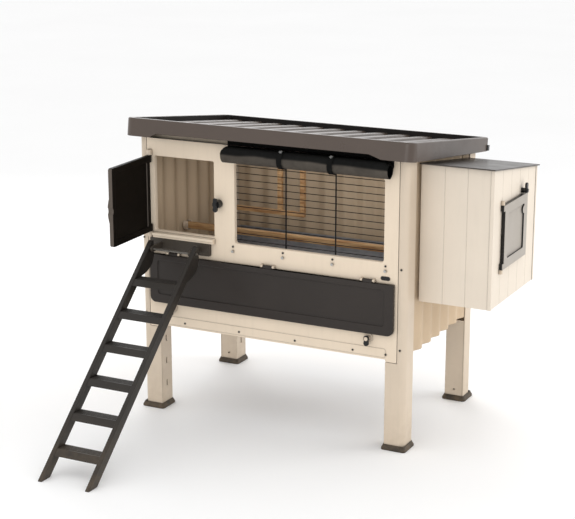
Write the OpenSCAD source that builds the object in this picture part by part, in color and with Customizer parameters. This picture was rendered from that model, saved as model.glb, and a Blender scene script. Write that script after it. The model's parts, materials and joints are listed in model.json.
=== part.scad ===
// Raised chicken coop: plastic wall panels on four legs, sloping tray roof, hinged door with a
// ladder, barred window with a roll-up shade, cleaning hatch, and a nest box on the right side.
// Millimetres, +X to the right along the front, +Y towards the back, +Z up.

/* [Body] */
// Width over the corner posts
body_w = 1200; // [1000:10:1440]
// Depth over the corner posts
body_d = 748; // [620:1:900]
// Height of the wall panels' lower edge above the ground
ground_gap = 375; // [340:5:420]
// Height of the front wall, from its lower edge to its top
front_wall_h = 839; // [690:1:1010]
// Angle at which the roof falls towards the back, in degrees
roof_pitch = 7.9; // [5:0.1:10]
// Thickness of the front panel
panel_t = 20; // [14:1:24]
// Width of the gap drawn between parts that only meet
seam = 1.5; // [1:0.1:2]

/* [Corner posts] */
// Side of a square corner post
post_w = 85; // [70:1:104]
// Wall thickness of a post
post_t = 5; // [4:0.5:7]
// Radius of a post's outer corner
post_r = 25; // [12:1:32]
// Width of the post that shows beside the front panel
post_strip = 36; // [30:1:44]
// Distance a foot stands out past its post
foot_lip = 10.5; // [6:0.5:16]
// Height of a foot
foot_h = 22; // [16:1:30]

/* [Corrugated walls] */
// Distance from one flute to the next, rounded to suit the length of the wall
flute_pitch = 98; // [70:1:130]
// Depth of a flute
flute_depth = 16; // [8:1:20]
// Thickness of a corrugated wall
wall_t = 4; // [3:0.5:6]

/* [Roof] */
// Overhang at the sides
roof_side = 40; // [28:1:60]
// Overhang at the front and at the back
roof_ends = 50; // [48:1:70]
// Height of the skirt at the front, measured square to the roof
skirt_h = 76; // [66:1:80]
// Height of the skirt at the back
skirt_back_h = 56; // [50:1:64]
// Height of the rim above the underside of the roof sheet
rim_h = 36; // [28:1:44]
// Number of ribs on the roof sheet
rib_count = 12; // [6:1:14]

/* [Openings in the front] */
// Width of the door opening
door_open_w = 280; // [230:1:336]
// Distance from the top of the door opening to the top of the front wall
door_head = 115; // [100:1:140]
// Height of the door opening's lower edge above the panels' lower edge
door_sill_z = 410; // [390:1:430]
// Distance from the door opening to the window
window_left = 94; // [85:1:120]
// Distance from the window to the right side of the body
window_right = 97; // [85:1:150]
// Distance from the top of the window to the top of the front wall
window_head = 113; // [100:1:140]
// Height of the window's lower edge above the panels' lower edge
window_sill_z = 394; // [385:1:410]
// Radius of the window's corners
window_r = 12; // [10:1:30]

/* [Doors] */
// Thickness of the coop door
door_t = 18; // [14:1:22]
// Angle at which the coop door stands open, in degrees
door_angle = 88; // [0:1:95]
// Distance from the cleaning hatch to each side of the body
hatch_side = 48; // [40:1:70]
// Height of the cleaning hatch
hatch_h = 209; // [170:1:251]
// Thickness of the cleaning hatch
hatch_t = 16; // [12:1:18]
// Width of the egg door, front to back
egg_w = 266; // [220:1:320]
// Height of the egg door
egg_h = 257; // [210:1:310]
// Thickness of the egg door
egg_t = 14; // [10:1:18]

/* [Ladder] */
// Angle of the ladder above the ground, in degrees
ladder_angle = 42.5; // [41:0.5:46]
// Width of the ladder over its stringers
ladder_w = 233; // [190:1:280]
// Thickness of a stringer
stringer_t = 19; // [14:1:24]
// Depth of a stringer, measured level
stringer_d = 57; // [46:1:68]
// Number of rungs
rung_count = 6; // [4:1:7]
// Depth of a rung, front to back
rung_d = 54; // [40:1:56]

/* [Nest box] */
// Distance the nest box stands out from the side wall
nest_out = 293; // [240:1:352]
// Distance from the front of the body to the nest box
nest_y = 140; // [110:1:168]
// Distance from the nest box to the back corner post
nest_back = 11; // [9:1:45]
// Height of the nest box at its front
nest_h = 553; // [460:1:620]
// Thickness of the nest box planks
plank_t = 12; // [8:1:16]

/* [Inside] */
// Height of the tray's walls
tray_h = 62; // [40:1:80]
// Thickness of the tray's sheet
tray_t = 2.5; // [2:0.5:4]
// Width and height of the perch bars
perch_w = 26; // [20:1:32]
// Radius of the rolled shade
roll_r = 36; // [29:1:37]

/* [Hidden] */

// colours
cream = "#e6d8c3";
cream_dark = "#d9c9b0";
brown = "#3b3531";
black = "#1d1c1c";
steel = "#b9bcc0";
tray_blue = "#7d8893";
timber = "#b9854a";

fit = 0.3;                 // radial clearance round a pin
gap = 2;                   // clearance beside a moving part
big = 4000;                // larger than the object, for cutting

// heights
panel_z = ground_gap;
wall_top = panel_z + front_wall_h;
door_z0 = panel_z + door_sill_z;
door_z1 = wall_top - door_head;
window_z0 = panel_z + window_sill_z;
window_z1 = wall_top - window_head;

// openings across the front
door_x0 = post_strip + 35;
door_x1 = door_x0 + door_open_w;
window_x0 = door_x1 + window_left;
window_x1 = body_w - window_right;

// Height of the sloping wall tops at a distance y from the front.
function top_at(y) = wall_top - y * tan(roof_pitch);

// Points of an arc, counter-clockwise from angle a0 to angle a1.
function arc(c, r, a0, a1, n = 8) =
  [for (i = [0:n]) c + r * [cos(a0 + (a1 - a0) * i / n), sin(a0 + (a1 - a0) * i / n)]];

// Outline of a rectangle with rounded corners.
function rounded(x0, y0, x1, y1, r, n = 8) = concat(
  arc([x1 - r, y0 + r], r, -90, 0, n), arc([x1 - r, y1 - r], r, 0, 90, n),
  arc([x0 + r, y1 - r], r, 90, 180, n), arc([x0 + r, y0 + r], r, 180, 270, n));

// A block between two corners.
module block(low, high) { translate(low) cube(high - low); }

// A flat shape drawn in X and Z, standing from y = front to y = front + t.
module upright(front, t) { translate([0, front + t, 0]) rotate([90, 0, 0]) linear_extrude(t) children(); }

// A flat shape drawn in Y and Z, standing from x = left to x = left + t.
module sideways(left, t) { translate([left, 0, 0]) rotate([90, 0, 90]) linear_extrude(t) children(); }

// Everything above the sloping wall tops, lowered by drop.
module above_walls(drop = 0) {
  sideways(-big / 2, big) polygon([[-big, top_at(-big) - drop], [big, top_at(big) - drop],
    [big, big], [-big, big]]);
}

// ---------- Where the moving parts turn ----------
door_gap = 2;                                 // behind the closed door
hinge_x = door_x0 - 19;                       // coop door's upright axis
hinge_y = -door_gap - door_t / 2;
door_left = 7;                                // from the axis to the door's edge
door_w = door_x1 + 10 - hinge_x - door_left;
door_bottom = door_z0 - 4;
door_top = door_z1 + 2;
door_block_h = 22;                            // height of a fixed hinge block
door_block_z = [door_bottom - door_block_h - 1, door_top + 1];
knuckle_h = 30;                               // height of the door's own knuckles
pin_r = 4;
latch_x = door_x1 + 23;
latch_z = door_z0 + 143;
latch_r = 17;                                 // boss of the door latch

bracket_z1 = door_block_z[0] - 1;             // top of the ladder's bracket
bracket_z0 = bracket_z1 - 54;
hatch_x0 = hatch_side;
hatch_x1 = body_w - hatch_side;
hatch_gap = 2;
hatch_top = bracket_z0 - 17;
hatch_bottom = hatch_top - hatch_h;
hatch_axis_y = -hatch_gap - hatch_t / 2;
hatch_axis_z = hatch_top + 7;
hatch_latch_z = hatch_bottom - 19;
band_z = [panel_z + 8, min(panel_z + 44, hatch_latch_z - 20)]; // raised band below the hatch
hatch_latch_x = [150, body_w - 156];
knuckle_w = 40;
knuckle_r = 6;
hatch_hinge_x = [160, body_w / 2, body_w - 160];

nest_x1 = body_w + nest_out;
nest_y1 = body_d - post_w - nest_back;
nest_z0 = top_at(nest_y) - 52.6 - nest_h;
egg_y0 = (nest_y + nest_y1 - egg_w) / 2 - 26;
egg_y1 = egg_y0 + egg_w;
egg_z1 = nest_top(nest_y1) - 81;
egg_z0 = egg_z1 - egg_h;
egg_gap = 1.5;
egg_axis_x = nest_x1 + egg_gap + egg_t / 2;
egg_axis_y = egg_y0 - 7;
egg_latch_y = egg_y1 - 34;
egg_latch_z = egg_z1 + 14;

ladder_x0 = door_x0 + 7;
ladder_x1 = ladder_x0 + ladder_w;
bracket_x0 = hinge_x - 2;
bracket_x1 = ladder_x1 + 24;
ladder_top = bracket_z1;
ladder_rear_y = -60;
ladder_pivot = [-84, bracket_z1 - 30];        // Y and Z of the ladder's axis
rod_r = 5;

// Height of the nest box's sloping top at a distance y from the front of the body.
function nest_top(y) = nest_z0 + nest_h - (y - nest_y) * tan(roof_pitch);

roof_y0 = -roof_ends / cos(roof_pitch);
roof_y1 = (body_d + roof_ends) / cos(roof_pitch);
roof_lift = 1;                                // above the wall tops
roof_axis_y = body_d + roof_ends + 9;
roof_axis_z = top_at(body_d + roof_ends) + roof_lift - 14;
roof_hinge_x = [(post_r + post_w) / 2, body_w - (post_r + post_w) / 2];
lug_r = 8;

// The origin is under the middle of the object as it stands.
outer_x = nest_x1 + egg_gap + egg_t + 12;
cap_t = 4; // thickness of the blocks on the roof's back corners
mid_x = (outer_x - roof_side - cap_t) / 2;
mid_y = (roof_axis_y + lug_r + ladder_y(0)) / 2;

// ---------- Front panel ----------
tab_drop = 9;                                 // lower edge dips over the legs
tray_open_x = [hatch_x0 + 26, hatch_x1 - 26];
tray_open_z = [hatch_bottom + 20, hatch_top - 18];

module front_panel() {
  color(cream) difference() {
    union() {
      upright(0, panel_t) polygon([
        [post_strip, panel_z - tab_drop], [post_w, panel_z - tab_drop], [post_w, panel_z],
        [body_w - post_w, panel_z], [body_w - post_w, panel_z - tab_drop],
        [body_w - post_strip, panel_z - tab_drop], [body_w - post_strip, wall_top],
        [post_strip, wall_top]]);
      // raised band along the lower edge
      upright(-seam, seam) polygon(rounded(hatch_x0 + 36, band_z[0], hatch_x1 - 36, band_z[1],
        min(8, (band_z[1] - band_z[0]) / 2 - 1)));
    }
    upright(-1, panel_t + 2) polygon(rounded(door_x0, door_z0, door_x1, door_z1, 6));
    upright(-1, panel_t + 2) polygon(rounded(window_x0, window_z0, window_x1, window_z1, window_r));
    upright(-1, panel_t + 2) polygon(rounded(tray_open_x[0], tray_open_z[0],
      tray_open_x[1], tray_open_z[1], 12));
    above_walls();
  }
}

// Ledge under the door opening.
module door_sill() {
  color(cream) {
    block([hinge_x + 14, -24, door_bottom - 14], [door_x1 + 3, 0, door_bottom - gap - 1]);
    block([hinge_x + 14, -17, bracket_z1], [door_x1 + 3, 0, door_bottom - 14]);
  }
}

module badge() {
  color(black) upright(-2, 2) polygon(rounded(window_x1 - 11, window_z0 - 71, window_x1 + 29,
    window_z0 - 55, 7.9));
}

// ---------- Corrugated walls ----------
// Outline of a corrugated sheet that runs along X for len. Its flutes stand out to -Y, and its
// ends lie flat behind the posts for the length lap.
module corrugated(len, lap) {
  count = round((len - 2 * lap) / flute_pitch);
  steps = 12 * count;
  along = [for (i = [0:steps]) lap + (len - 2 * lap) * i / steps];
  out = [for (i = [0:steps]) flute_depth * (1 + cos(360 * i / 12)) / 2];
  polygon(concat(
    [[0, -flute_depth]], [for (i = [0:steps]) [along[i], -out[i]]], [[len, -flute_depth]],
    [[len, wall_t - flute_depth]], [for (i = [steps:-1:0]) [along[i], wall_t - out[i]]],
    [[0, wall_t - flute_depth]]));
}

wall_in = post_t + flute_depth;               // from the post's face to the sheet's hollows
inside = wall_in + wall_t;                    // from the post's face to the clear inside
wall_end = post_w - 25;                       // from the corner to the end of a sheet
wall_z0 = panel_z + 5;

module side_sheet(x, turn) {
  translate([x, turn > 0 ? wall_end : body_d - wall_end, wall_z0]) rotate([0, 0, 90 * turn])
    linear_extrude(big / 2) corrugated(body_d - 2 * wall_end, post_w - wall_end);
}

module left_wall() {
  color(cream) difference() { side_sheet(wall_in, -1); above_walls(2); }
}

perch_y = 320;
nest_door_y = [perch_y + perch_w / 2 + 20, nest_y1 - 22];
nest_door_z = [nest_z0 + 16, nest_z0 + 440];

module right_wall() {
  color(cream) difference() {
    side_sheet(body_w - wall_in, 1);
    above_walls(2);
    block([body_w - 2 * inside, nest_door_y[0], nest_door_z[0]],
      [body_w + inside, nest_door_y[1], nest_door_z[1]]);
  }
}

module back_wall() {
  color(cream) difference() {
    translate([body_w - wall_end, body_d - wall_in, wall_z0]) rotate([0, 0, 180])
      linear_extrude(big / 2) corrugated(body_w - 2 * wall_end, post_w - wall_end);
    above_walls(2);
  }
}

// ---------- Posts, legs and feet ----------
foot_floor = 4;

// Puts a part made for the front left corner at any corner.
module at_corner(right, back) {
  translate([right ? body_w : 0, back ? body_d : 0, 0])
    mirror([right ? 1 : 0, 0, 0]) mirror([0, back ? 1 : 0, 0]) children();
}

module corner_post(right, back) {
  color(cream_dark) difference() {
    at_corner(right, back) translate([0, 0, foot_floor]) linear_extrude(big / 2) polygon(concat(
      [[post_w, 0], [post_w, post_t]], arc([post_r, post_r], post_r - post_t, 270, 180),
      [[post_t, post_w], [0, post_w]], arc([post_r, post_r], post_r, 180, 270)));
    above_walls(2);
    block([post_strip - seam, -1, panel_z - tab_drop - seam],
      [body_w - post_strip + seam, panel_t + 1, big / 2]);
  }
}

module leg_cover(right, back) {
  top = panel_z - tab_drop - 3;
  color(cream_dark) at_corner(right, back) difference() {
    translate([0, 0, foot_floor]) linear_extrude(top - foot_floor) polygon([
      [post_w, post_t + 0.2], [post_w, post_w], [post_t + 0.2, post_w],
      [post_t + 0.2, post_w - post_t], [post_w - post_t, post_w - post_t],
      [post_w - post_t, post_t + 0.2]]);
    for (z = [90, 190, 290])
      block([post_w - 2 * post_t, post_w / 2 - 4, z], [post_w + 1, post_w / 2 + 4, z + 26]);
    translate([post_w / 2, post_w + 1, foot_h + 26]) rotate([90, 0, 0])
      cylinder(r = 4, h = 2 * post_t, $fn = 32);
  }
}

module foot(right, back) {
  lip = foot_lip;
  pocket = 0.5;
  color(brown) at_corner(right, back) difference() {
    hull() {
      linear_extrude(7) polygon(rounded(-lip, -lip, post_w + lip, post_w + lip, 12, 6));
      linear_extrude(foot_h) polygon(rounded(-lip / 3, -lip / 3, post_w + lip / 3,
        post_w + lip / 3, 10, 6));
    }
    block([-pocket, -pocket, foot_floor], [post_w + pocket, post_w + pocket, foot_h + 1]);
  }
}

// ---------- Window ----------
wire_r = 1.6;
rod_wire_r = 3;
wire_step = 27.7;
tie_x = [window_x0 - 8, (2 * window_x0 + window_x1) / 3, (window_x0 + 2 * window_x1) / 3, window_x1 + 8];

// Bars and wires on short stand-offs behind the panel.
module window_grille() {
  y = panel_t + 8;
  color(black) {
    for (x = tie_x) {
      translate([x, y, window_z0 - 20]) cylinder(r = rod_wire_r, h = window_z1 - window_z0 + 40, $fn = 24);
      for (z = [window_z0 - 14, window_z1 + 14]) translate([x, y, z]) rotate([90, 0, 0])
        cylinder(r = 4, h = y - panel_t, $fn = 24);
    }
    for (z = [window_z0 + 11 : wire_step : window_z1 + 8]) translate([window_x0 - 11, y, z])
      rotate([0, 90, 0]) cylinder(r = wire_r, h = window_x1 - window_x0 + 22, $fn = 16);
  }
}

module studs_on_front(points, r, h) {
  for (p = points) translate([p[0], 0, p[1]]) rotate([90, 0, 0]) cylinder(r = r, h = h, $fn = 24);
}

module window_tie_studs() {
  color(steel) studs_on_front([for (x = tie_x) [x, window_z0 - 33]], 5, 9);
}

module panel_screws() {
  color(black) {
    studs_on_front(concat([for (x = tie_x) [x, window_z0 - 14]],
      [for (x = [14, body_w - 22], z = [46, 373]) [x, panel_z + z]]), 4, 2.5);
    translate([0, -seam, 0]) studs_on_front([for (x = [each [205 : 257 : body_w - 200],
      body_w - hatch_side - 34]) [x, band_z[0] + 0.36 * (band_z[1] - band_z[0])]], 4, 2);
  }
}

// ---------- Rolled shade ----------
roll_x = [window_x0 - 26, window_x1 + 38];
roll_y = -roll_r - 5;
roll_z = window_z1 + 42;
strap_x = [window_x0 + 240, window_x0 + 458];

module shade_roll() {
  color(black) translate([roll_x[0], roll_y, roll_z]) rotate([0, 90, 0])
    cylinder(r = roll_r, h = roll_x[1] - roll_x[0], $fn = 64);
}

module shade_straps() {
  w = 22;
  color(brown) for (x = strap_x) difference() {
    union() {
      translate([x - w / 2, roll_y, roll_z]) rotate([0, 90, 0]) cylinder(r = roll_r + 1.4, h = w, $fn = 64);
      block([x - w / 2, -5, roll_z - 12], [x + w / 2, 0, roll_z + 12]);
    }
    translate([x - w, roll_y, roll_z]) rotate([0, 90, 0]) cylinder(r = roll_r + 0.4, h = 2 * w, $fn = 64);
  }
}

module shade_studs() {
  color(steel) for (x = strap_x) translate([x, roll_y, roll_z]) rotate([28, 0, 0])
    translate([0, 0, roll_r + 1.4]) cylinder(r = 7, h = 3.5, $fn = 32);
}

// ---------- Coop door ----------
grip_out = 7; // how far the grip stands out

// The closed door, drawn from its hinge axis at the origin of X and Y.
module closed_door() {
  w = door_w;
  border = 24;
  sink = 5;
  grip_r = 182;
  difference() {
    union() {
      upright(-door_t / 2, door_t) polygon(rounded(door_left, door_bottom, door_left + w, door_top, 10));
      for (z = [door_bottom, door_top - knuckle_h]) {
        block([0, -door_t / 2, z], [door_left + 12, door_t / 2, z + knuckle_h]);
        translate([0, 0, z]) cylinder(r = door_t / 2, h = knuckle_h, $fn = 32);
      }
      // bowed grip on the outer face
      sideways(door_left + w - 22, 22) polygon(arc([grip_r - door_t / 2 - grip_out, latch_z], grip_r,
        180 - 16, 180 + 16, 12));
    }
    for (side = [-1, 1]) upright(side * door_t / 2 - sink, 2 * sink) polygon(rounded(door_left + border,
      door_bottom + border, door_left + w - border, door_top - border, 8));
    translate([latch_x - hinge_x, door_t, latch_z]) rotate([90, 0, 0])
      cylinder(r = latch_r + gap, h = 2 * door_t, $fn = 48);
    translate([0, 0, door_bottom - 1]) cylinder(r = pin_r + fit, h = door_top - door_bottom + 2, $fn = 32);
  }
}

module coop_door() {
  color(brown) translate([hinge_x, hinge_y, 0]) rotate([0, 0, -door_angle]) closed_door();
}

module door_hinge_blocks() {
  color(cream_dark) for (z = door_block_z) difference() {
    union() {
      block([hinge_x - 10, hinge_y, z], [hinge_x + 10, 0, z + door_block_h]);
      translate([hinge_x, hinge_y, z]) cylinder(r = 10, h = door_block_h, $fn = 32);
    }
    translate([hinge_x, hinge_y, z - 1]) cylinder(r = pin_r, h = door_block_h + 2, $fn = 32);
  }
}

module door_hinge_pins() {
  reach = knuckle_h - 4;
  color(steel) for (z = [door_block_z[0], door_top - reach])
    translate([hinge_x, hinge_y, z]) cylinder(r = pin_r, h = door_block_h + 1 + reach, $fn = 32);
}

// ---------- Turn buttons ----------
lever_t = 8;
spindle_r = 5;

// A fixed boss with a spindle; the lever turns round the spindle. It stands towards +Z.
module latch_boss(r, h) {
  cylinder(r = r, h = h, $fn = 48);
  translate([0, 0, h]) cylinder(r = spindle_r, h = lever_t + 1, $fn = 32);
  translate([0, 0, h + lever_t + 1]) cylinder(r = spindle_r + 3, h = 3, $fn = 32);
}

// A lever of the given reach that points along -Y, lying 0.5 above the boss.
module latch_lever(h, reach, head) {
  tail = 11;
  translate([0, 0, h + 0.5]) difference() {
    linear_extrude(lever_t) union() {
      circle(r = head, $fn = 48);
      translate([0, -(reach - tail)]) circle(r = tail, $fn = 48);
      polygon([[-head + 2, 0], [-tail + 2, -(reach - tail)], [tail - 2, -(reach - tail)], [head - 2, 0]]);
    }
    translate([0, 0, -1]) cylinder(r = spindle_r + fit, h = lever_t + 2, $fn = 32);
  }
}

// Stands a latch on the front of the coop at x, z.
module on_front(x, z) { translate([x, 0, z]) rotate([90, 0, 0]) children(); }

door_boss_h = door_gap + door_t + grip_out + 1;
hatch_boss_h = hatch_gap + hatch_t + 1;
egg_boss_h = egg_gap + egg_t + 0.5;

module door_latch_base() { color(black) on_front(latch_x, latch_z) latch_boss(latch_r, door_boss_h); }

module door_latch_lever() {
  color(black) on_front(latch_x, latch_z) {
    latch_lever(door_boss_h, 30, 11);
    translate([0, 0, door_boss_h + 0.5]) linear_extrude(lever_t) polygon(rounded(-9, 8, 9, 27, 6));
  }
}

module hatch_latch_bases() {
  color(cream_dark) for (x = hatch_latch_x) on_front(x, hatch_latch_z) {
    cylinder(r = 18, h = 3, $fn = 48);
    translate([0, 0, 3]) latch_boss(8, hatch_boss_h - 3);
  }
}

module hatch_latch_lever(i) {
  color(black) on_front(hatch_latch_x[i], hatch_latch_z) latch_lever(hatch_boss_h, 30, 12);
}

// Stands a latch on the outer wall of the nest box.
module on_nest() { translate([nest_x1, egg_latch_y, egg_latch_z]) rotate([90, 0, 90]) children(); }

module egg_latch_base() { color(black) on_nest() latch_boss(10, egg_boss_h); }

module egg_latch_lever() { color(black) on_nest() rotate([0, 0, 180]) latch_lever(egg_boss_h, 32, 11); }

// ---------- Cleaning hatch ----------
module hatch() {
  border = 38;
  sink = 5;
  front = -hatch_gap - hatch_t;
  color(brown) difference() {
    union() {
      upright(front, hatch_t) polygon(concat(
        arc([hatch_x0 + 26, hatch_bottom + 26], 26, 180, 270), arc([hatch_x1 - 26, hatch_bottom + 26],
        26, 270, 360), [[hatch_x1, hatch_top], [hatch_x0, hatch_top]]));
      for (x = hatch_hinge_x) {
        block([x - knuckle_w / 2, hatch_axis_y - knuckle_r, hatch_top - 1],
          [x + knuckle_w / 2, hatch_axis_y + knuckle_r, hatch_axis_z]);
        translate([x - knuckle_w / 2, hatch_axis_y, hatch_axis_z]) rotate([0, 90, 0])
          cylinder(r = knuckle_r, h = knuckle_w, $fn = 32);
      }
    }
    upright(front - 1, sink + 1) polygon(rounded(hatch_x0 + border, hatch_bottom + border,
      hatch_x1 - border, hatch_top - 24, 12));
    upright(-hatch_gap - sink, sink + 1) polygon(rounded(hatch_x0 + border, hatch_bottom + border,
      hatch_x1 - border, hatch_top - 24, 12));
    for (x = hatch_hinge_x) translate([x - knuckle_w, hatch_axis_y, hatch_axis_z])
      rotate([0, 90, 0]) cylinder(r = 2.5 + fit, h = 2 * knuckle_w, $fn = 32);
  }
}

module hatch_hinge_brackets() {
  color(cream_dark) for (x = hatch_hinge_x, side = [-1, 1]) difference() {
    union() {
      block([x + side * 26 - 5, hatch_axis_y, hatch_axis_z - knuckle_r],
        [x + side * 26 + 5, 0, hatch_axis_z + knuckle_r]);
      translate([x + side * 26 - 5, hatch_axis_y, hatch_axis_z]) rotate([0, 90, 0])
        cylinder(r = knuckle_r, h = 10, $fn = 32);
    }
    translate([x + side * 26 - 6, hatch_axis_y, hatch_axis_z]) rotate([0, 90, 0])
      cylinder(r = 2.5, h = 12, $fn = 32);
  }
}

module hatch_hinge_pins() {
  color(steel) for (x = hatch_hinge_x) translate([x - 31, hatch_axis_y, hatch_axis_z])
    rotate([0, 90, 0]) cylinder(r = 2.5, h = 62, $fn = 32);
}

// ---------- Ladder ----------
lug_x = [ladder_x0 + stringer_t + 2, ladder_x1 - stringer_t - 14];

module ladder_bracket() {
  color(brown) difference() {
    union() {
      upright(-14, 14) polygon(rounded(bracket_x0, bracket_z0, bracket_x1, bracket_z1, 6));
      for (x = lug_x) {
        block([x, ladder_pivot[0], ladder_pivot[1] - 12], [x + 12, -14, ladder_pivot[1] + 12]);
        translate([x, ladder_pivot[0], ladder_pivot[1]]) rotate([0, 90, 0])
          cylinder(r = 12, h = 12, $fn = 48);
      }
      translate([bracket_x1 - 15, -14, bracket_z0 + 27]) rotate([90, 0, 0])
        cylinder(r = 8, h = 3, $fn = 32);
    }
    translate([bracket_x0, ladder_pivot[0], ladder_pivot[1]]) rotate([0, 90, 0])
      cylinder(r = rod_r, h = bracket_x1 - bracket_x0, $fn = 32);
  }
}

module ladder_pivot_rod() {
  color(steel) translate([ladder_x0 - 6, ladder_pivot[0], ladder_pivot[1]]) rotate([0, 90, 0])
    cylinder(r = rod_r, h = ladder_w + 12, $fn = 32);
}

// Y of the ladder's upper edge at height z.
function ladder_y(z) = ladder_rear_y - 13 - (ladder_top - z) / tan(ladder_angle);

module stringer(x) {
  neck = [ladder_y(ladder_top - 129) + stringer_d, ladder_top - 129];
  shoulder = [ladder_rear_y, ladder_top - 54];
  bend = [ladder_rear_y - 2, ladder_top - 117];
  color(brown) difference() {
    sideways(x, stringer_t) polygon(concat(
      [[ladder_rear_y, ladder_top], [ladder_y(ladder_top), ladder_top], [ladder_y(0), 0],
        [ladder_y(0) + stringer_d, 0]],
      [for (t = [0:0.125:1]) (1 - t) * (1 - t) * neck + 2 * t * (1 - t) * bend + t * t * shoulder]));
    translate([x - 1, ladder_pivot[0], ladder_pivot[1]]) rotate([0, 90, 0])
      cylinder(r = rod_r + fit, h = stringer_t + 2, $fn = 32);
  }
}

rung_step = ladder_top / (rung_count + 1.15);

module ladder_rungs() {
  tread = 9;
  nose = 22;
  color(brown) for (i = [0:rung_count - 1]) {
    z = rung_step * (i + 0.93);
    difference() {
      sideways(ladder_x0 + stringer_t, ladder_w - 2 * stringer_t) polygon([
        [ladder_y(z) + 2, z], [ladder_y(z) + rung_d, z], [ladder_y(z) + rung_d, z - tread],
        [ladder_y(z) + 12, z - tread], [ladder_y(z) + 12, z - nose], [ladder_y(z - nose) + 2, z - nose]]);
      for (k = [0:3]) block([ladder_x0, ladder_y(z) + 11 + 10 * k, z - 2],
        [ladder_x1, ladder_y(z) + 15 + 10 * k, z + 1]);
    }
  }
}

// ---------- Roof ----------
draft = 4;
roof_wall = 5;
sheet_t = 5;
rim_w = 22;

// Outline of the roof, drawn in by inset.
module roof_outline(inset, r) {
  polygon(rounded(-roof_side + inset, roof_y0 + inset, body_w + roof_side - inset,
    roof_y1 - inset, r, 8));
}

// A part drawn on the roof's own level, its underside at z = 0.
module on_roof() {
  translate([0, 0, wall_top + roof_lift]) rotate([-roof_pitch, 0, 0]) children();
}

module roof_shell() {
  low = rim_h - skirt_h;
  difference() {
    hull() {
      translate([0, 0, low]) linear_extrude(1) roof_outline(0, 42);
      translate([0, 0, rim_h - 4]) linear_extrude(1) roof_outline(draft - 2, 36);
      translate([0, 0, rim_h - 1]) linear_extrude(1) roof_outline(draft + 3, 31);
    }
    hull() {
      translate([0, 0, low - 1]) linear_extrude(1) roof_outline(roof_wall, 38);
      translate([0, 0, -1]) linear_extrude(1) roof_outline(roof_wall + draft * 0.6, 34);
    }
    translate([0, 0, sheet_t]) linear_extrude(rim_h) roof_outline(draft + rim_w, 16);
    // the skirt is lower at the back
    sideways(-big / 2, big) polygon([[roof_y0 - 60, low], [roof_y1 + 60, rim_h - skirt_back_h],
      [roof_y1 + 60, -big], [roof_y0 - 60, -big]]);
    // and stepped up along the middle of the front
    upright(roof_y0 - 1, 60) polygon([[roof_side + 37, low - 1], [roof_side + 74, low + 18],
      [body_w - 145, low + 18], [body_w - 85, low - 1]]);
  }
}

rib_h = 12;
rib_pitch = (body_w + 2 * roof_side - 2 * (draft + rim_w)) / rib_count;

// One bar for each rib of the roof, from height z0 to height z1, drawn in by t at its flanks.
module roof_ribs(z0, z1, t) {
  y0 = roof_y0 + draft + rim_w - 1 + t;
  for (i = [0:rib_count - 1]) {
    x = -roof_side + draft + rim_w + rib_pitch * (i + 0.5);
    foot = 0.32 * rib_pitch - t;
    crest = 0.2 * rib_pitch - t / 2;
    upright(y0, roof_y1 + roof_y0 - 2 * y0)
      polygon([[x - foot, z0], [x - crest, z1], [x + crest, z1], [x + foot, z0]]);
  }
}

hinge_w = 14;

// Lugs on the roof, one each side of a fixed arm.
module roof_lugs() {
  for (x = roof_hinge_x, side = [-1, 1]) difference() {
    union() {
      translate([x + side * (hinge_w + 1) - hinge_w / 2, roof_axis_y, roof_axis_z]) rotate([0, 90, 0])
        cylinder(r = lug_r, h = hinge_w, $fn = 32);
      block([x + side * (hinge_w + 1) - hinge_w / 2, body_d + roof_ends - draft, roof_axis_z],
        [x + side * (hinge_w + 1) + hinge_w / 2, roof_axis_y, roof_axis_z + lug_r]);
    }
    translate([x + side * (hinge_w + 1) - hinge_w, roof_axis_y, roof_axis_z]) rotate([0, 90, 0])
      cylinder(r = 3 + fit, h = 2 * hinge_w, $fn = 32);
  }
}

module roof() {
  color(brown) {
    on_roof() difference() {
      union() { roof_shell(); roof_ribs(sheet_t - 1, sheet_t + rib_h, 0); }
      roof_ribs(-1, rib_h, sheet_t);
    }
    roof_lugs();
  }
}

module roof_hinge_brackets() {
  color(black) for (x = roof_hinge_x) difference() {
    union() {
      sideways(x - hinge_w / 2, hinge_w) polygon([
        [body_d + 4, roof_axis_z - 58], [body_d + 4, roof_axis_z - 24],
        [roof_axis_y - lug_r, roof_axis_z - 17], [roof_axis_y - lug_r, roof_axis_z],
        [roof_axis_y + lug_r, roof_axis_z], [roof_axis_y + lug_r, roof_axis_z - 26]]);
      translate([x - hinge_w / 2, roof_axis_y, roof_axis_z]) rotate([0, 90, 0])
        cylinder(r = lug_r, h = hinge_w, $fn = 32);
      block([x - 24, body_d, roof_axis_z - 66], [x + 24, body_d + 4, roof_axis_z - 14]);
    }
    translate([x - hinge_w, roof_axis_y, roof_axis_z]) rotate([0, 90, 0])
      cylinder(r = 3, h = 2 * hinge_w, $fn = 32);
  }
}

module roof_hinge_pins() {
  color(steel) for (x = roof_hinge_x) translate([x - 24, roof_axis_y, roof_axis_z])
    rotate([0, 90, 0]) cylinder(r = 3, h = 48, $fn = 32);
}

// Small blocks that close the lower back corners of the skirt.
module roof_hinge_caps() {
  low = rim_h - skirt_back_h;
  color(black) on_roof() for (x = [-roof_side - cap_t, body_w + roof_side])
    block([x, roof_y1 - 44, low + 1], [x + cap_t, roof_y1 - 22, low + 25]);
}

// ---------- Nest box ----------
nest_wall_x = body_w - post_t;                // inner edge of the box, against the side wall
groove = 2.5;

// Planks drawn as V grooves across a wall from a to b, as a list of positions.
function plank_joints(a, b, count) = [for (i = [1:count - 1]) a + (b - a) * i / count];

// Everything above the nest box's sloping top.
module above_nest() {
  sideways(body_w - 100, nest_out + 200) polygon([[-big, nest_top(-big)], [big, nest_top(big)],
    [big, big], [-big, big]]);
}

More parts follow.
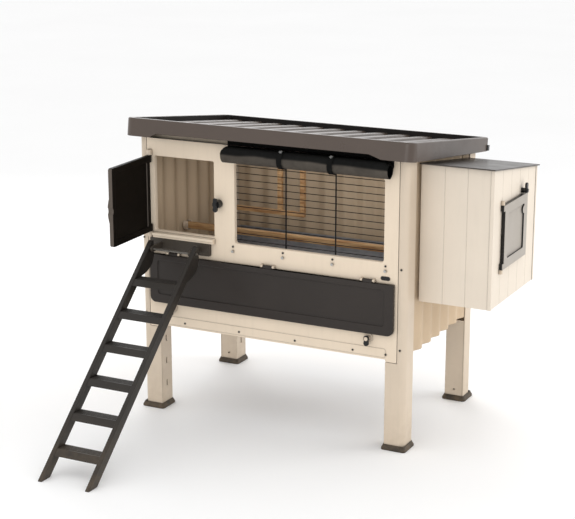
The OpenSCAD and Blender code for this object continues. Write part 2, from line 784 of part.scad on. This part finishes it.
module nest_end_wall(y, face) {
  color(cream) difference() {
    block([nest_wall_x, y, nest_z0], [nest_x1 - plank_t - 0.2, y + plank_t, nest_z0 + nest_h + 10]);
    for (x = plank_joints(body_w, nest_x1 - plank_t, 3)) translate([x, face, nest_z0 - 1])
      rotate([0, 0, 45]) translate([-groove / 2, -groove / 2, 0]) cube([groove, groove, nest_h + 20]);
    above_nest();
  }
}

module nest_front_wall() { nest_end_wall(nest_y, nest_y); }

module nest_back_wall() { nest_end_wall(nest_y1 - plank_t, nest_y1); }

module nest_outer_wall() {
  color(cream) difference() {
    block([nest_x1 - plank_t, nest_y, nest_z0], [nest_x1, nest_y1, nest_z0 + nest_h + 10]);
    for (y = plank_joints(nest_y, nest_y1, 5)) translate([nest_x1, y, nest_z0 - 1])
      rotate([0, 0, 45]) translate([-groove / 2, -groove / 2, 0]) cube([groove, groove, nest_h + 20]);
    sideways(nest_x1 - 2 * plank_t, 3 * plank_t) polygon(rounded(egg_y0 + 18, egg_z0 + 18,
      egg_y1 - 18, egg_z1 - 18, 8));
    above_nest();
  }
}

module nest_floor() {
  color(cream_dark) block([nest_wall_x, nest_y + plank_t + 0.2, nest_z0],
    [nest_x1 - plank_t - 0.2, nest_y1 - plank_t - 0.2, nest_z0 + plank_t]);
}

module nest_corner_trim() {
  t = 2.5;
  w = 12;
  color(cream) difference() {
    union() {
      block([nest_x1 - w, nest_y - t, nest_z0], [nest_x1 + t, nest_y, nest_z0 + nest_h + 10]);
      block([nest_x1, nest_y, nest_z0], [nest_x1 + t, nest_y + w, nest_z0 + nest_h + 10]);
      block([nest_x1, nest_y1 - w, nest_z0], [nest_x1 + t, nest_y1, nest_z0 + nest_h + 10]);
      block([nest_x1 - w, nest_y1, nest_z0], [nest_x1 + t, nest_y1 + t, nest_z0 + nest_h + 10]);
    }
    above_nest();
  }
}

module nest_lid() {
  t = 5;
  over = 10;
  y0 = nest_y - 2 * over;
  y1 = body_d - post_w - 1;
  color("#6d655e") sideways(nest_wall_x, nest_x1 + over - nest_wall_x) polygon([[y0, nest_top(y0)],
    [y1, nest_top(y1)], [y1, nest_top(y1) + t], [y0, nest_top(y0) + t]]);
}

// ---------- Egg door ----------
module egg_door() {
  border = 38;
  sink = 7;
  face = nest_x1 + egg_gap;
  color(brown) difference() {
    union() {
      sideways(face, egg_t) polygon(rounded(egg_y0, egg_z0, egg_y1, egg_z1, 5));
      for (z = [egg_z0, egg_z1 - 24]) {
        block([face, egg_axis_y, z], [face + egg_t, egg_y0 + 8, z + 24]);
        translate([egg_axis_x, egg_axis_y, z]) cylinder(r = egg_t / 2, h = 24, $fn = 32);
      }
    }
    difference() {
      sideways(face + egg_t - sink, sink + 1) polygon(rounded(egg_y0 + border, egg_z0 + border,
        egg_y1 - border, egg_z1 - border, 5));
      // half-round finger pull left standing in the recess
      translate([face + egg_t - sink - 1, egg_y1 - border, egg_z1 - border - 24]) rotate([0, 90, 0])
        cylinder(r = 16, h = sink + 1, $fn = 32);
    }
    translate([egg_axis_x, egg_axis_y, egg_z0 - 1]) cylinder(r = 2.5 + fit, h = egg_h + 2, $fn = 32);
  }
}

module egg_door_hinge_blocks() {
  color(cream_dark) for (z = [egg_z0 - 17, egg_z1 + 1]) difference() {
    union() {
      block([nest_x1, egg_axis_y - 6, z], [egg_axis_x, egg_axis_y + 6, z + 16]);
      translate([egg_axis_x, egg_axis_y, z]) cylinder(r = 6, h = 16, $fn = 32);
    }
    translate([egg_axis_x, egg_axis_y, z - 1]) cylinder(r = 2.5, h = 18, $fn = 32);
  }
}

module egg_door_hinge_pins() {
  color(steel) for (z = [egg_z0 - 17, egg_z1 - 18])
    translate([egg_axis_x, egg_axis_y, z]) cylinder(r = 2.5, h = 35, $fn = 32);
}

// ---------- Inside ----------
tray_z0 = tray_open_z[1] - 16 - tray_h;
tray_x = [tray_open_x[0] + 8, tray_open_x[1] - 8];
tray_y = [panel_t + 8, body_d - inside - 8];

module tray() {
  color(tray_blue) difference() {
    union() {
      block([tray_x[0], tray_y[0], tray_z0], [tray_x[1], tray_y[1], tray_z0 + tray_h]);
      // rolled rim
      block([tray_x[0] - 6, tray_y[0] - 4, tray_z0 + tray_h - 4],
        [tray_x[1] + 6, tray_y[1] + 4, tray_z0 + tray_h]);
    }
    block([tray_x[0] + tray_t, tray_y[0] + tray_t, tray_z0 + tray_t],
      [tray_x[1] - tray_t, tray_y[1] - tray_t, tray_z0 + tray_h + 1]);
  }
  color(tray_blue) for (y = [tray_y[0] + 60 : 42 : tray_y[1] - 50])
    block([tray_x[0] + 30, y, tray_z0 + tray_t - 0.5], [tray_x[1] - 30, y + 12, tray_z0 + tray_t + 3]);
}

module tray_runners() {
  reach = tray_x[0] + 24;
  color(cream_dark) for (x = [[inside, reach], [body_w - reach, body_w - inside]])
    block([x[0], panel_t, tray_z0 - 26], [x[1], body_d - inside, tray_z0]);
}

perch_z = door_z0 - 64;

module perch_bar(x0, x1, y, z, w) { block([x0, y - w / 2, z], [x1, y + w / 2, z + w]); }

module perch() {
  color(timber) perch_bar(inside + 4, body_w - inside - 4, perch_y, perch_z, perch_w);
}

// Round cups on the side walls, open at the top, that the perch is dropped into.
module perch_brackets() {
  color(cream_dark) for (x = [inside, body_w - inside - 20]) difference() {
    translate([x, perch_y, perch_z + perch_w / 2]) rotate([0, 90, 0])
      cylinder(r = perch_w * 0.5 + 11, h = 20, $fn = 48);
    block([x - 1, perch_y - perch_w / 2, perch_z], [x + 21, perch_y + perch_w / 2, perch_z + 40]);
  }
}

roost_y = 450;
roost_z = door_z0 + 8;
roost_x = [422, 530];

module hanging_roost() {
  w = 20;
  beam_z = top_at(body_d - inside) - 20;
  color(timber) {
    perch_bar(roost_x[0] - 325, roost_x[1] + w / 2, roost_y, roost_z, w);
    for (x = roost_x) block([x - w / 2, roost_y - w / 2, roost_z + w], [x + w / 2, roost_y + w / 2, beam_z]);
    // crossbar from the front panel to the back wall
    for (x = roost_x) block([x - w / 2, panel_t, beam_z], [x + w / 2, body_d - inside, beam_z + 14]);
  }
}

// Moves the finished parts so that the origin is under the middle of the object.
module place() { translate([-mid_x, -mid_y, 0]) children(); }

place() front_panel();
place() left_wall();
place() right_wall();
place() back_wall();
place() corner_post(false, false);  // corner_post_front_left
place() corner_post(true, false);  // corner_post_front_right
place() corner_post(false, true);  // corner_post_back_left
place() corner_post(true, true);  // corner_post_back_right
place() leg_cover(false, false);  // leg_cover_front_left
place() leg_cover(true, false);  // leg_cover_front_right
place() leg_cover(false, true);  // leg_cover_back_left
place() leg_cover(true, true);  // leg_cover_back_right
place() foot(false, false);  // foot_front_left
place() foot(true, false);  // foot_front_right
place() foot(false, true);  // foot_back_left
place() foot(true, true);  // foot_back_right
place() door_sill();
place() window_grille();
place() window_tie_studs();
place() panel_screws();
place() badge();
place() coop_door();
place() door_hinge_blocks();
place() door_hinge_pins();
place() door_latch_base();
place() door_latch_lever();
place() hatch();
place() hatch_hinge_brackets();
place() hatch_hinge_pins();
place() hatch_latch_bases();
place() hatch_latch_lever(0);  // hatch_latch_lever_left
place() hatch_latch_lever(1);  // hatch_latch_lever_right
place() shade_roll();
place() shade_straps();
place() shade_studs();
place() ladder_bracket();
place() ladder_pivot_rod();
place() stringer(ladder_x0);  // ladder_stringer_left
place() stringer(ladder_x1 - stringer_t);  // ladder_stringer_right
place() ladder_rungs();
place() roof();
place() roof_hinge_brackets();
place() roof_hinge_pins();
place() roof_hinge_caps();
place() nest_front_wall();
place() nest_back_wall();
place() nest_outer_wall();
place() nest_floor();
place() nest_lid();
place() nest_corner_trim();
place() egg_door();
place() egg_door_hinge_blocks();
place() egg_door_hinge_pins();
place() egg_latch_base();
place() egg_latch_lever();
place() tray();
place() tray_runners();
place() perch();
place() perch_brackets();
place() hanging_roost();
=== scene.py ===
import json
import math

import bmesh
import bpy
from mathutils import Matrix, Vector, noise


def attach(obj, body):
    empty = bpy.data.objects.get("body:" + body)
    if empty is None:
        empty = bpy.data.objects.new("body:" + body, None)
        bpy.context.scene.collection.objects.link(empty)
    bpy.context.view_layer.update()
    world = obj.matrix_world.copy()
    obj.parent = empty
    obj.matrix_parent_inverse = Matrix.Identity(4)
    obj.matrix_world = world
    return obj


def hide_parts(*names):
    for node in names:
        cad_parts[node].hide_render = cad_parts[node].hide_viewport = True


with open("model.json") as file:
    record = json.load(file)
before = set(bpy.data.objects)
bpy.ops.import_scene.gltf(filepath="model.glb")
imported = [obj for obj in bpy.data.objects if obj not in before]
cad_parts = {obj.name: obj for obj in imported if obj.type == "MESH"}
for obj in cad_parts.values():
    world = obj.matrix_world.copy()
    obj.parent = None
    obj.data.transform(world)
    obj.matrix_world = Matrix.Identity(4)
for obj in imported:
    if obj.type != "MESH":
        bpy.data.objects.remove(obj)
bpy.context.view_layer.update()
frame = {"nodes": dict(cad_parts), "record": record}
nodes = frame["nodes"]

MID_X, MID_Y = 738.25, -42.0603  # the frame's origin, in mm from the front left post


def at(x, y, z):
    """A place given in mm from the front left post's corner, in the frame's metres."""
    return Vector(((x - MID_X) / 1000, (y - MID_Y) / 1000, z / 1000))


# ---------------------------------------------------------------- materials
AO_SAMPLES = 4
SEAM_REACH = 0.006               # metres from an edge within which painted shade darkens a seam
GROUND_REACH = 0.22              # height in metres up to which soil splashes
SOIL = (150, 128, 100)


def srgb(r, g, b):
    def lin(v):
        v /= 255
        return v / 12.92 if v <= 0.04045 else ((v + 0.055) / 1.055) ** 2.4
    return (lin(r), lin(g), lin(b), 1.0)


def darker(colour, share):
    return tuple(c * share for c in colour[:3]) + (1.0,)


class Graph:
    """A material's node tree, with short ways to add the nodes that are used here."""

    def __init__(self, name):
        self.mat = bpy.data.materials.new(name)
        self.mat.use_nodes = True
        self.tree = self.mat.node_tree
        self.bsdf = self.tree.nodes["Principled BSDF"]
        self.coord = self.tree.nodes.new("ShaderNodeTexCoord").outputs["Object"]

    def node(self, kind):
        return self.tree.nodes.new(kind)

    def link(self, a, b):
        self.tree.links.new(a, b)

    def stretched(self, scale):
        m = self.node("ShaderNodeMapping")
        m.inputs["Scale"].default_value = scale
        self.link(self.coord, m.inputs["Vector"])
        return m.outputs["Vector"]

    def noise(self, scale, detail=3.0, roughness=0.55, stretch=None):
        n = self.node("ShaderNodeTexNoise")
        n.inputs["Scale"].default_value = scale
        n.inputs["Detail"].default_value = detail
        n.inputs["Roughness"].default_value = roughness
        self.link(self.stretched(stretch) if stretch else self.coord, n.inputs["Vector"])
        return n.outputs["Fac"]

    def remap(self, value, a, b, c, d):
        n = self.node("ShaderNodeMapRange")
        n.inputs["From Min"].default_value = a
        n.inputs["From Max"].default_value = b
        n.inputs["To Min"].default_value = c
        n.inputs["To Max"].default_value = d
        self.link(value, n.inputs["Value"])
        return n.outputs["Result"]

    def spread(self, fac, low, high):
        """Noise, which keeps near its middle, spread from low to high."""
        return self.remap(fac, 0.3, 0.7, low, high)

    def shut_in(self, reach, dark, light, amount):
        """The amount where other surfaces crowd a place within reach, and 0 where it is open."""
        ao = self.node("ShaderNodeAmbientOcclusion")
        ao.samples = AO_SAMPLES
        ao.inputs["Distance"].default_value = reach
        return self.remap(ao.outputs["AO"], dark, light, amount, 0.0)

    def math(self, op, a, b):
        n = self.node("ShaderNodeMath")
        n.operation = op
        for i, v in enumerate((a, b)):
            if isinstance(v, (int, float)):
                n.inputs[i].default_value = v
            else:
                self.link(v, n.inputs[i])
        return n.outputs[0]

    def mix(self, fac, a, b):
        n = self.node("ShaderNodeMix")
        n.data_type = "RGBA"
        for key, v in (("Factor", fac), ("A", a), ("B", b)):
            socket = next(s for s in n.inputs if s.name == key and s.enabled)
            if isinstance(v, (int, float, tuple)):
                socket.default_value = v
            else:
                self.link(v, socket)
        return next(s for s in n.outputs if s.enabled)

    def bump(self, height, strength, distance):
        n = self.node("ShaderNodeBump")
        n.inputs["Strength"].default_value = strength
        n.inputs["Distance"].default_value = distance
        self.link(height, n.inputs["Height"])
        self.link(n.outputs["Normal"], self.bsdf.inputs["Normal"])

    def value(self, colour, fac):
        n = self.node("ShaderNodeHueSaturation")
        if isinstance(colour, tuple):
            n.inputs["Color"].default_value = colour
        else:
            self.link(colour, n.inputs["Color"])
        self.link(fac, n.inputs["Value"])
        return n.outputs["Color"]


def plastic(name, colour, rough, tone=0.05, grain=0.12, spec=0.5, grime_and_shade=0.0, streaks=0.0,
            wear=None, ground=0.0, reach=0.03, seam_shade=0.0):
    """Moulded plastic: cloudy tone, fine texture, uneven gloss, grime with painted shade in the
    corners, and painted shade in the seams.
    """
    graph = Graph(name)
    col = graph.value(colour, graph.spread(graph.noise(4.0, 4), 1 - tone, 1 + tone))
    if wear:
        worn = graph.remap(graph.noise(38.0, 8, 0.7), 0.62, 0.78, 0.0, 0.5)
        col = graph.mix(worn, col, wear)
    if streaks:
        run = graph.remap(graph.noise(9.0, 5, 0.6, (6.0, 6.0, 0.5)), 0.52, 0.8, 0.0, streaks)
        col = graph.mix(run, col, darker(colour, 0.55))
    if ground:
        sep = graph.node("ShaderNodeSeparateXYZ")
        graph.link(graph.coord, sep.inputs[0])
        low = graph.remap(sep.outputs["Z"], 0.0, GROUND_REACH, ground, 0.0)
        patches = graph.remap(graph.noise(22.0, 6, 0.65), 0.35, 0.65, 0.2, 1.0)
        col = graph.mix(graph.math("MULTIPLY", low, patches), col, srgb(*SOIL))
    # grime together with painted shade: darker in corners, recesses and between parts, where
    # other surfaces crowd a place
    if grime_and_shade:
        hidden = graph.shut_in(reach, 0.35, 0.95, grime_and_shade)
        hidden = graph.math("MULTIPLY", hidden, graph.spread(graph.noise(26.0, 5), 0.6, 1.0))
        col = graph.mix(hidden, col, darker(colour, 0.3))
    # painted shade in seams and grooves, where other surfaces crowd a place closely
    if seam_shade:
        col = graph.mix(graph.shut_in(SEAM_REACH, 0.3, 0.92, seam_shade), col, darker(colour, 0.22))
    graph.link(col, graph.bsdf.inputs["Base Color"])
    graph.link(graph.spread(graph.noise(11.0, 6, 0.6), rough - 0.06, rough + 0.06),
               graph.bsdf.inputs["Roughness"])
    graph.bsdf.inputs["Specular IOR Level"].default_value = spec
    graph.bump(graph.noise(700.0, 2), grain, 0.0006)
    return graph.mat


def metal(name, colour, rough, metallic=1.0, spec=0.5):
    graph = Graph(name)
    col = graph.value(colour, graph.spread(graph.noise(30.0, 5), 0.85, 1.1))
    graph.link(col, graph.bsdf.inputs["Base Color"])
    graph.link(graph.spread(graph.noise(60.0, 6), rough - 0.08, rough + 0.08),
               graph.bsdf.inputs["Roughness"])
    graph.bsdf.inputs["Metallic"].default_value = metallic
    graph.bsdf.inputs["Specular IOR Level"].default_value = spec
    graph.bump(graph.noise(900.0, 2), 0.08, 0.0004)
    return graph.mat


def wood(name, light, dark):
    """Planed softwood with its grain along X."""
    graph = Graph(name)
    rings = graph.noise(14.0, 3, 0.5, (0.6, 7.0, 7.0))
    fine = graph.noise(40.0, 6, 0.7, (0.35, 9.0, 9.0))
    col = graph.mix(graph.remap(rings, 0.38, 0.62, 0.0, 1.0), light, dark)
    col = graph.value(col, graph.spread(fine, 0.85, 1.12))
    graph.link(col, graph.bsdf.inputs["Base Color"])
    graph.link(graph.spread(fine, 0.5, 0.68), graph.bsdf.inputs["Roughness"])
    graph.bump(fine, 0.25, 0.0008)
    return graph.mat


def fabric(name):
    """Coated woven sheet: black, and dark grey where the attribute "band" is 1."""
    graph = Graph(name)
    attr = graph.node("ShaderNodeAttribute")
    attr.attribute_name = "band"
    tone = graph.spread(graph.noise(16.0, 5), 0.75, 1.25)
    grey = graph.value(srgb(72, 67, 61), tone)
    black = graph.value(srgb(9, 9, 8), tone)
    graph.link(graph.mix(attr.outputs["Fac"], black, grey), graph.bsdf.inputs["Base Color"])
    wave = graph.node("ShaderNodeTexWave")
    wave.inputs["Scale"].default_value = 260.0
    graph.link(graph.coord, wave.inputs["Vector"])
    graph.link(graph.spread(graph.noise(50.0, 4), 0.55, 0.75), graph.bsdf.inputs["Roughness"])
    graph.bsdf.inputs["Specular IOR Level"].default_value = 0.12
    graph.bump(graph.math("ADD", wave.outputs["Fac"], graph.noise(30.0, 5)), 0.3, 0.0012)
    return graph.mat


FINISH = {
    "cream": plastic("cream", srgb(226, 209, 187), 0.50, tone=0.03, grime_and_shade=0.35, streaks=0.10,
                     spec=0.4, seam_shade=0.8),
    "post": plastic("post", srgb(208, 192, 172), 0.48, tone=0.035, grime_and_shade=0.4, streaks=0.12,
                    ground=0.25, spec=0.35, seam_shade=0.7),
    "inner": plastic("inner", srgb(202, 180, 152), 0.58, tone=0.05, grime_and_shade=0.25, streaks=0.15,
                     spec=0.3, seam_shade=0.4),
    "nest": plastic("nest", srgb(221, 209, 193), 0.48, tone=0.03, grime_and_shade=0.5, streaks=0.08,
                    spec=0.4, seam_shade=0.95),
    # painted light: the egg door is dark brown plastic, painted light taupe on its broad side
    # faces for the light and reflection from the right
    "egg": plastic("egg", srgb(160, 152, 142), 0.42, tone=0.03, grime_and_shade=0.6, spec=0.4),
    "roof": plastic("roof", srgb(76, 64, 56), 0.33, tone=0.08, grain=0.2, grime_and_shade=0.95,
                    wear=srgb(104, 94, 85), spec=0.5, reach=0.05),
    # painted shade: a near-black copy of the roof's plastic for the inner walls of its well
    "roof_well_shade": plastic("roof_well_shade", srgb(26, 22, 20), 0.45, tone=0.1, grain=0.2, spec=0.2),
    "brown": plastic("brown", srgb(44, 38, 34), 0.42, tone=0.10, grain=0.2, grime_and_shade=0.3,
                     wear=srgb(66, 60, 53), spec=0.3),
    # the coop door is the brown plastic: painted shade makes it near black, and a lighter copy
    # is painted light on the faces turned to the front and the left
    "door": plastic("door", srgb(14, 11, 8), 0.50, tone=0.15, grain=0.2, grime_and_shade=0.3,
                    wear=srgb(30, 25, 20), spec=0.08),
    "door_edge": plastic("door_edge", srgb(84, 75, 67), 0.42, tone=0.10, grain=0.2, grime_and_shade=0.4,
                         wear=srgb(110, 100, 90), spec=0.3),
    "bracket": plastic("bracket", srgb(66, 59, 51), 0.46, tone=0.10, grain=0.25, grime_and_shade=0.3,
                       wear=srgb(96, 88, 78), spec=0.3),
    "ladder": plastic("ladder", srgb(44, 40, 36), 0.46, tone=0.12, grain=0.25, grime_and_shade=0.35,
                      wear=srgb(82, 76, 68), ground=0.2, spec=0.3),
    "foot": plastic("foot", srgb(36, 33, 30), 0.5, tone=0.12, grain=0.3, grime_and_shade=0.4,
                    wear=srgb(84, 76, 66), ground=0.35, spec=0.3),
    "black": plastic("black", srgb(16, 16, 17), 0.30, tone=0.12, grain=0.12,
                     wear=srgb(44, 44, 46), spec=0.35),
    "lid": plastic("lid", srgb(64, 58, 54), 0.34, tone=0.10, grain=0.15,
                   wear=srgb(100, 94, 88), spec=0.4),
    "wire": metal("wire", srgb(14, 14, 14), 0.5, 0.0, spec=0.2),
    "screw": metal("screw", srgb(30, 29, 28), 0.40, 0.3),
    "steel": metal("steel", srgb(176, 176, 174), 0.32),
    "rod": metal("rod", srgb(110, 106, 100), 0.40, 0.7),
    "tray": metal("tray", srgb(150, 150, 153), 0.42, 0.0),
    "wood": wood("wood", srgb(200, 162, 116), srgb(160, 116, 72)),
    "webbing": plastic("webbing", srgb(12, 12, 11), 0.7, tone=0.2, grain=0.8, spec=0.1),
    "shade": fabric("shade"),
}

# ---------------------------------------------------------------- pieces from the CAD
# node: (finish, edge radius in mm, smallest angle of an edge that is rounded)
SOFT = {
    "front_panel": ("cream", 1.6, 30), "left_wall": ("inner", 3.0, 18),
    "right_wall": ("inner", 3.0, 18), "back_wall": ("inner", 3.0, 18),
    "door_sill": ("cream", 2.0, 30),
    "coop_door": ("door", 2.0, 30), "door_hinge_blocks": ("post", 1.2, 30),
    "hatch": ("brown", 2.6, 30), "hatch_hinge_brackets": ("post", 1.0, 30),
    "door_latch_base": ("black", 1.0, 30), "door_latch_lever": ("black", 1.2, 30),
    "hatch_latch_bases": ("post", 0.8, 30), "hatch_latch_lever_left": ("black", 1.2, 30),
    "hatch_latch_lever_right": ("black", 1.2, 30), "ladder_bracket": ("bracket", 1.6, 30),
    "ladder_stringer_left": ("ladder", 1.8, 30), "ladder_stringer_right": ("ladder", 1.8, 30),
    "ladder_rungs": ("ladder", 1.2, 30), "roof": ("roof", 2.2, 24),
    "roof_hinge_brackets": ("black", 1.0, 30), "roof_hinge_caps": ("black", 1.2, 30),
    "nest_front_wall": ("nest", 1.2, 30), "nest_back_wall": ("nest", 1.2, 30),
    "nest_outer_wall": ("nest", 1.2, 30), "nest_floor": ("nest", 1.0, 30),
    "nest_corner_trim": ("nest", 1.2, 30), "nest_lid": ("lid", 1.2, 30),
    "egg_door": ("egg", 1.4, 30), "egg_door_hinge_blocks": ("post", 0.8, 30),
    "egg_latch_base": ("black", 0.8, 30), "egg_latch_lever": ("black", 1.0, 30),
    "tray": ("tray", 0.8, 30), "tray_runners": ("post", 1.0, 30), "perch": ("wood", 3.0, 30),
    "perch_brackets": ("post", 1.2, 30), "hanging_roost": ("wood", 2.5, 30),
    "badge": ("black", 0.6, 30),
}
for n in nodes:
    if n.startswith("corner_post"):
        SOFT[n] = ("post", 2.4, 30)
    elif n.startswith("leg_cover"):
        SOFT[n] = ("post", 2.0, 30)
    elif n.startswith("foot_"):
        SOFT[n] = ("foot", 1.8, 30)

# node: finish, for the nodes that keep the CAD's mesh
PLAIN = {
    "window_grille": "wire", "window_tie_studs": "steel", "panel_screws": "screw",
    "door_hinge_pins": "steel", "hatch_hinge_pins": "steel", "ladder_pivot_rod": "rod",
    "shade_straps": "webbing", "shade_studs": "steel", "roof_hinge_pins": "steel",
    "egg_door_hinge_pins": "steel",
}

# node: (second finish, the faces that have it, from their normal and place)
BODY_LEFT = at(0, 0, 0).x
WELL_BACK = at(0, 700, 0).y
SECOND = {
    # the coop door's faces turned to the front and the left get the lighter copy, and the rest
    # get the near-black painted shade
    "coop_door": ("door_edge", lambda n, c: n.y < -0.6 or n.x < -0.6),
    # painted shade: the egg door's edges and recess walls are painted black
    "egg_door": ("black", lambda n, c: abs(n.x) < 0.7),
    "badge": ("steel", lambda n, c: n.y > -0.9),
    # the inner walls of the roof's well, at the back and the left, get the painted shade
    "roof": ("roof_well_shade", lambda n, c: ((n.y < -0.3 and c.y > WELL_BACK)
                                        or (n.x > 0.3 and c.x < BODY_LEFT))),
}

body_of_node = {}
for body, names in frame["record"]["behaviour"]["bodies"].items():
    for n in names:
        body_of_node[n] = body


WELD = 1e-5                      # metres within which points are joined
FLAT = math.radians(0.8)         # faces that turn less than this become one
SHARP = math.radians(50)         # edges that stay sharp after they are rounded


def soften(name, finish, radius, angle):
    """A copy of the node with its edges rounded, which rides on the node's body."""
    source = nodes[name]
    bm = bmesh.new()
    bm.from_mesh(source.data)
    bmesh.ops.remove_doubles(bm, verts=bm.verts, dist=WELD)
    bmesh.ops.dissolve_limit(bm, angle_limit=FLAT, verts=bm.verts, edges=bm.edges)
    sharp = [e for e in bm.edges if len(e.link_faces) == 2
             and e.calc_face_angle(0) > math.radians(angle)]
    bmesh.ops.bevel(bm, geom=sharp, offset=radius / 1000, segments=2, profile=0.6,
                    affect="EDGES", clamp_overlap=False)
    mesh = bpy.data.meshes.new(name + "_soft")
    bm.to_mesh(mesh)
    bm.free()
    for p in mesh.polygons:
        p.use_smooth = True
    mesh.set_sharp_from_angle(angle=SHARP)
    obj = bpy.data.objects.new(name + "_soft", mesh)
    bpy.context.collection.objects.link(obj)
    mesh.materials.append(FINISH[finish])
    if name in SECOND:
        other, test = SECOND[name]
        mesh.materials.append(FINISH[other])
        for p in mesh.polygons:
            p.material_index = 1 if test(p.normal, p.center) else 0
    wn = obj.modifiers.new("normals", "WEIGHTED_NORMAL")
    wn.keep_sharp = True
    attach(obj, body_of_node[name])
    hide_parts(name)


for n in nodes:
    if n in SOFT:
        soften(n, *SOFT[n])
for n, finish in PLAIN.items():
    nodes[n].data.materials.clear()
    nodes[n].data.materials.append(FINISH[finish])

# ---------------------------------------------------------------- the rolled shade
# Places and sizes are in mm, as in the CAD.
ROLL_X0, ROLL_X1, ROLL_Y, ROLL_Z, ROLL_R = 419.0, 1141.0, -41.0, 1143.0, 35.2
TURNS, PITCH = 2.0, 2.6          # the turns drawn, and what each takes off the radius
FLAP_TOP, FLAP_Y = 1204.0, -5.0  # the flat strip between the roof's skirt and the roll
STRAPS, STRAP_REACH, STRAP_PINCH = (685.0, 903.0), 16, 0.5
END_REACH, END_SQUEEZE = 22.0, 0.34
LUMP, BAND_STEP = 0.7, 1.6       # unevenness, and how far the grey band lies under the black
BAND_EDGE = 28                   # how sharply the band ends
COLUMNS, TURN_STEPS, FLAP_ROWS = 148, 56, 10
THICKNESS = 0.0008               # of the sheet, in metres


def band_end(i, x):
    """The angle round the roll, in column i, at which the grey band ends."""
    wave = 9 * math.sin(math.pi * i / COLUMNS) * (1 - 0.35 * math.cos(6 * math.pi * i / COLUMNS))
    return math.pi + math.radians(6 + wave - 5 * noise.noise(Vector((x * 0.011, 7.0, 1.0))))


def shade_column(i):
    """Points (x, y, z, band) down the flap and then round the roll, in column i of the sheet."""
    x = ROLL_X0 + (ROLL_X1 - ROLL_X0) * i / COLUMNS
    end = min(x - ROLL_X0, ROLL_X1 - x)
    round_end = 1 - END_SQUEEZE * max(0.0, 1 - end / END_REACH) ** 2
    pinch = sum(math.exp(-((x - s) / STRAP_REACH) ** 2) for s in STRAPS)
    line = band_end(i, x)
    around = int(TURNS * TURN_STEPS)
    column = []
    for j in range(FLAP_ROWS):
        z = FLAP_TOP + (ROLL_Z - FLAP_TOP) * j / FLAP_ROWS
        ripple = 0.5 * noise.noise(Vector((x * 0.02, z * 0.03, 4.0)))
        column.append((x, FLAP_Y + ripple, z, 0.0))
    for j in range(around + 1):
        a = 2 * math.pi * TURNS * j / around
        turn = a / (2 * math.pi)
        r = ROLL_R - PITCH * turn
        lump = noise.noise(Vector((x * 0.012, math.cos(a), math.sin(a) + 3.0)))
        r += LUMP * lump - STRAP_PINCH * pinch
        past = 1 / (1 + math.exp(-(a - line) * BAND_EDGE)) if turn < 1 else 1.0
        r -= BAND_STEP * (1 - past) if a > 0.6 else 0.0
        y, z = math.cos(a) * r, -math.sin(a) * r
        if z > 0:
            z *= round_end
        column.append((x, ROLL_Y + y * (0.5 + 0.5 * round_end), ROLL_Z + z, 1 - past))
    return column


def shade():
    """One sheet that hangs from under the roof's skirt and is rolled up from its lower edge."""
    rows = [shade_column(i) for i in range(COLUMNS + 1)]
    verts = [at(*p[:3]) for column in rows for p in column]
    n = len(rows[0])
    faces = [(i * n + j, i * n + j + 1, (i + 1) * n + j + 1, (i + 1) * n + j)
             for i in range(COLUMNS) for j in range(n - 1)]
    mesh = bpy.data.meshes.new("shade_sheet")
    mesh.from_pydata(verts, [], faces)
    layer = mesh.attributes.new("band", "FLOAT", "POINT")
    layer.data.foreach_set("value", [p[3] for column in rows for p in column])
    for p in mesh.polygons:
        p.use_smooth = True
    obj = bpy.data.objects.new("shade_sheet", mesh)
    bpy.context.collection.objects.link(obj)
    mesh.materials.append(FINISH["shade"])
    thick = obj.modifiers.new("thickness", "SOLIDIFY")
    thick.thickness = THICKNESS
    thick.offset = 0.0
    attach(obj, "coop")
    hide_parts("shade_roll")


shade()

# ---------------------------------------------------------------- floor, light, camera
FLOOR_SIZE = 90                  # metres, so that its edge is out of every view

bpy.ops.mesh.primitive_plane_add(size=FLOOR_SIZE, location=(0, 0, 0))
floor = bpy.context.object
floor.name = "studio_floor"
graph = Graph("floor")
graph.link(graph.value(srgb(251, 251, 251), graph.spread(graph.noise(0.6, 3), 0.99, 1.01)),
           graph.bsdf.inputs["Base Color"])
graph.bsdf.inputs["Roughness"].default_value = 0.85
graph.bsdf.inputs["Specular IOR Level"].default_value = 0.1
graph.bump(graph.noise(60.0, 4), 0.05, 0.001)
floor.data.materials.append(graph.mat)

world = bpy.data.worlds.new("studio")
bpy.context.scene.world = world
world.use_nodes = True
world.node_tree.nodes["Background"].inputs["Color"].default_value = (1.0, 1.0, 1.0, 1.0)
world.node_tree.nodes["Background"].inputs["Strength"].default_value = 1.0


def softbox(name, place, aim, size, power):
    data = bpy.data.lights.new(name, "AREA")
    data.shape = "RECTANGLE"
    data.size, data.size_y = size
    data.energy = power
    obj = bpy.data.objects.new(name, data)
    bpy.context.collection.objects.link(obj)
    obj.location = place
    obj.rotation_euler = (Vector(aim) - Vector(place)).to_track_quat("-Z", "Y").to_euler()


softbox("right_key", (4.6, 2.4, 2.4), (0.5, 0.2, 0.8), (3.2, 2.6), 64)
softbox("front_fill", (0.8, -6.0, 1.5), (0.0, 0.0, 0.9), (4.0, 2.4), 45)
softbox("inside_fill", at(700, 330, 1100), at(700, 340, 600), (0.9, 0.5), 1.6)
softbox("back_sheen", (-2.0, 3.4, 2.9), (-0.3, 0.3, 1.2), (2.4, 1.6), 45)

data = bpy.data.cameras.new("camera")
camera = bpy.data.objects.new("camera", data)
bpy.context.collection.objects.link(camera)
camera.location = at(3432.4, -5403.7, 2347.3)
camera.rotation_euler = (math.radians(75.07), 0.0, math.radians(26.95))
data.sensor_fit = "HORIZONTAL"
data.sensor_width = 36.0
data.lens = 98.29
bpy.context.scene.camera = camera
bpy.context.scene.view_settings.view_transform = "Standard"
bpy.context.scene.view_settings.look = "None"
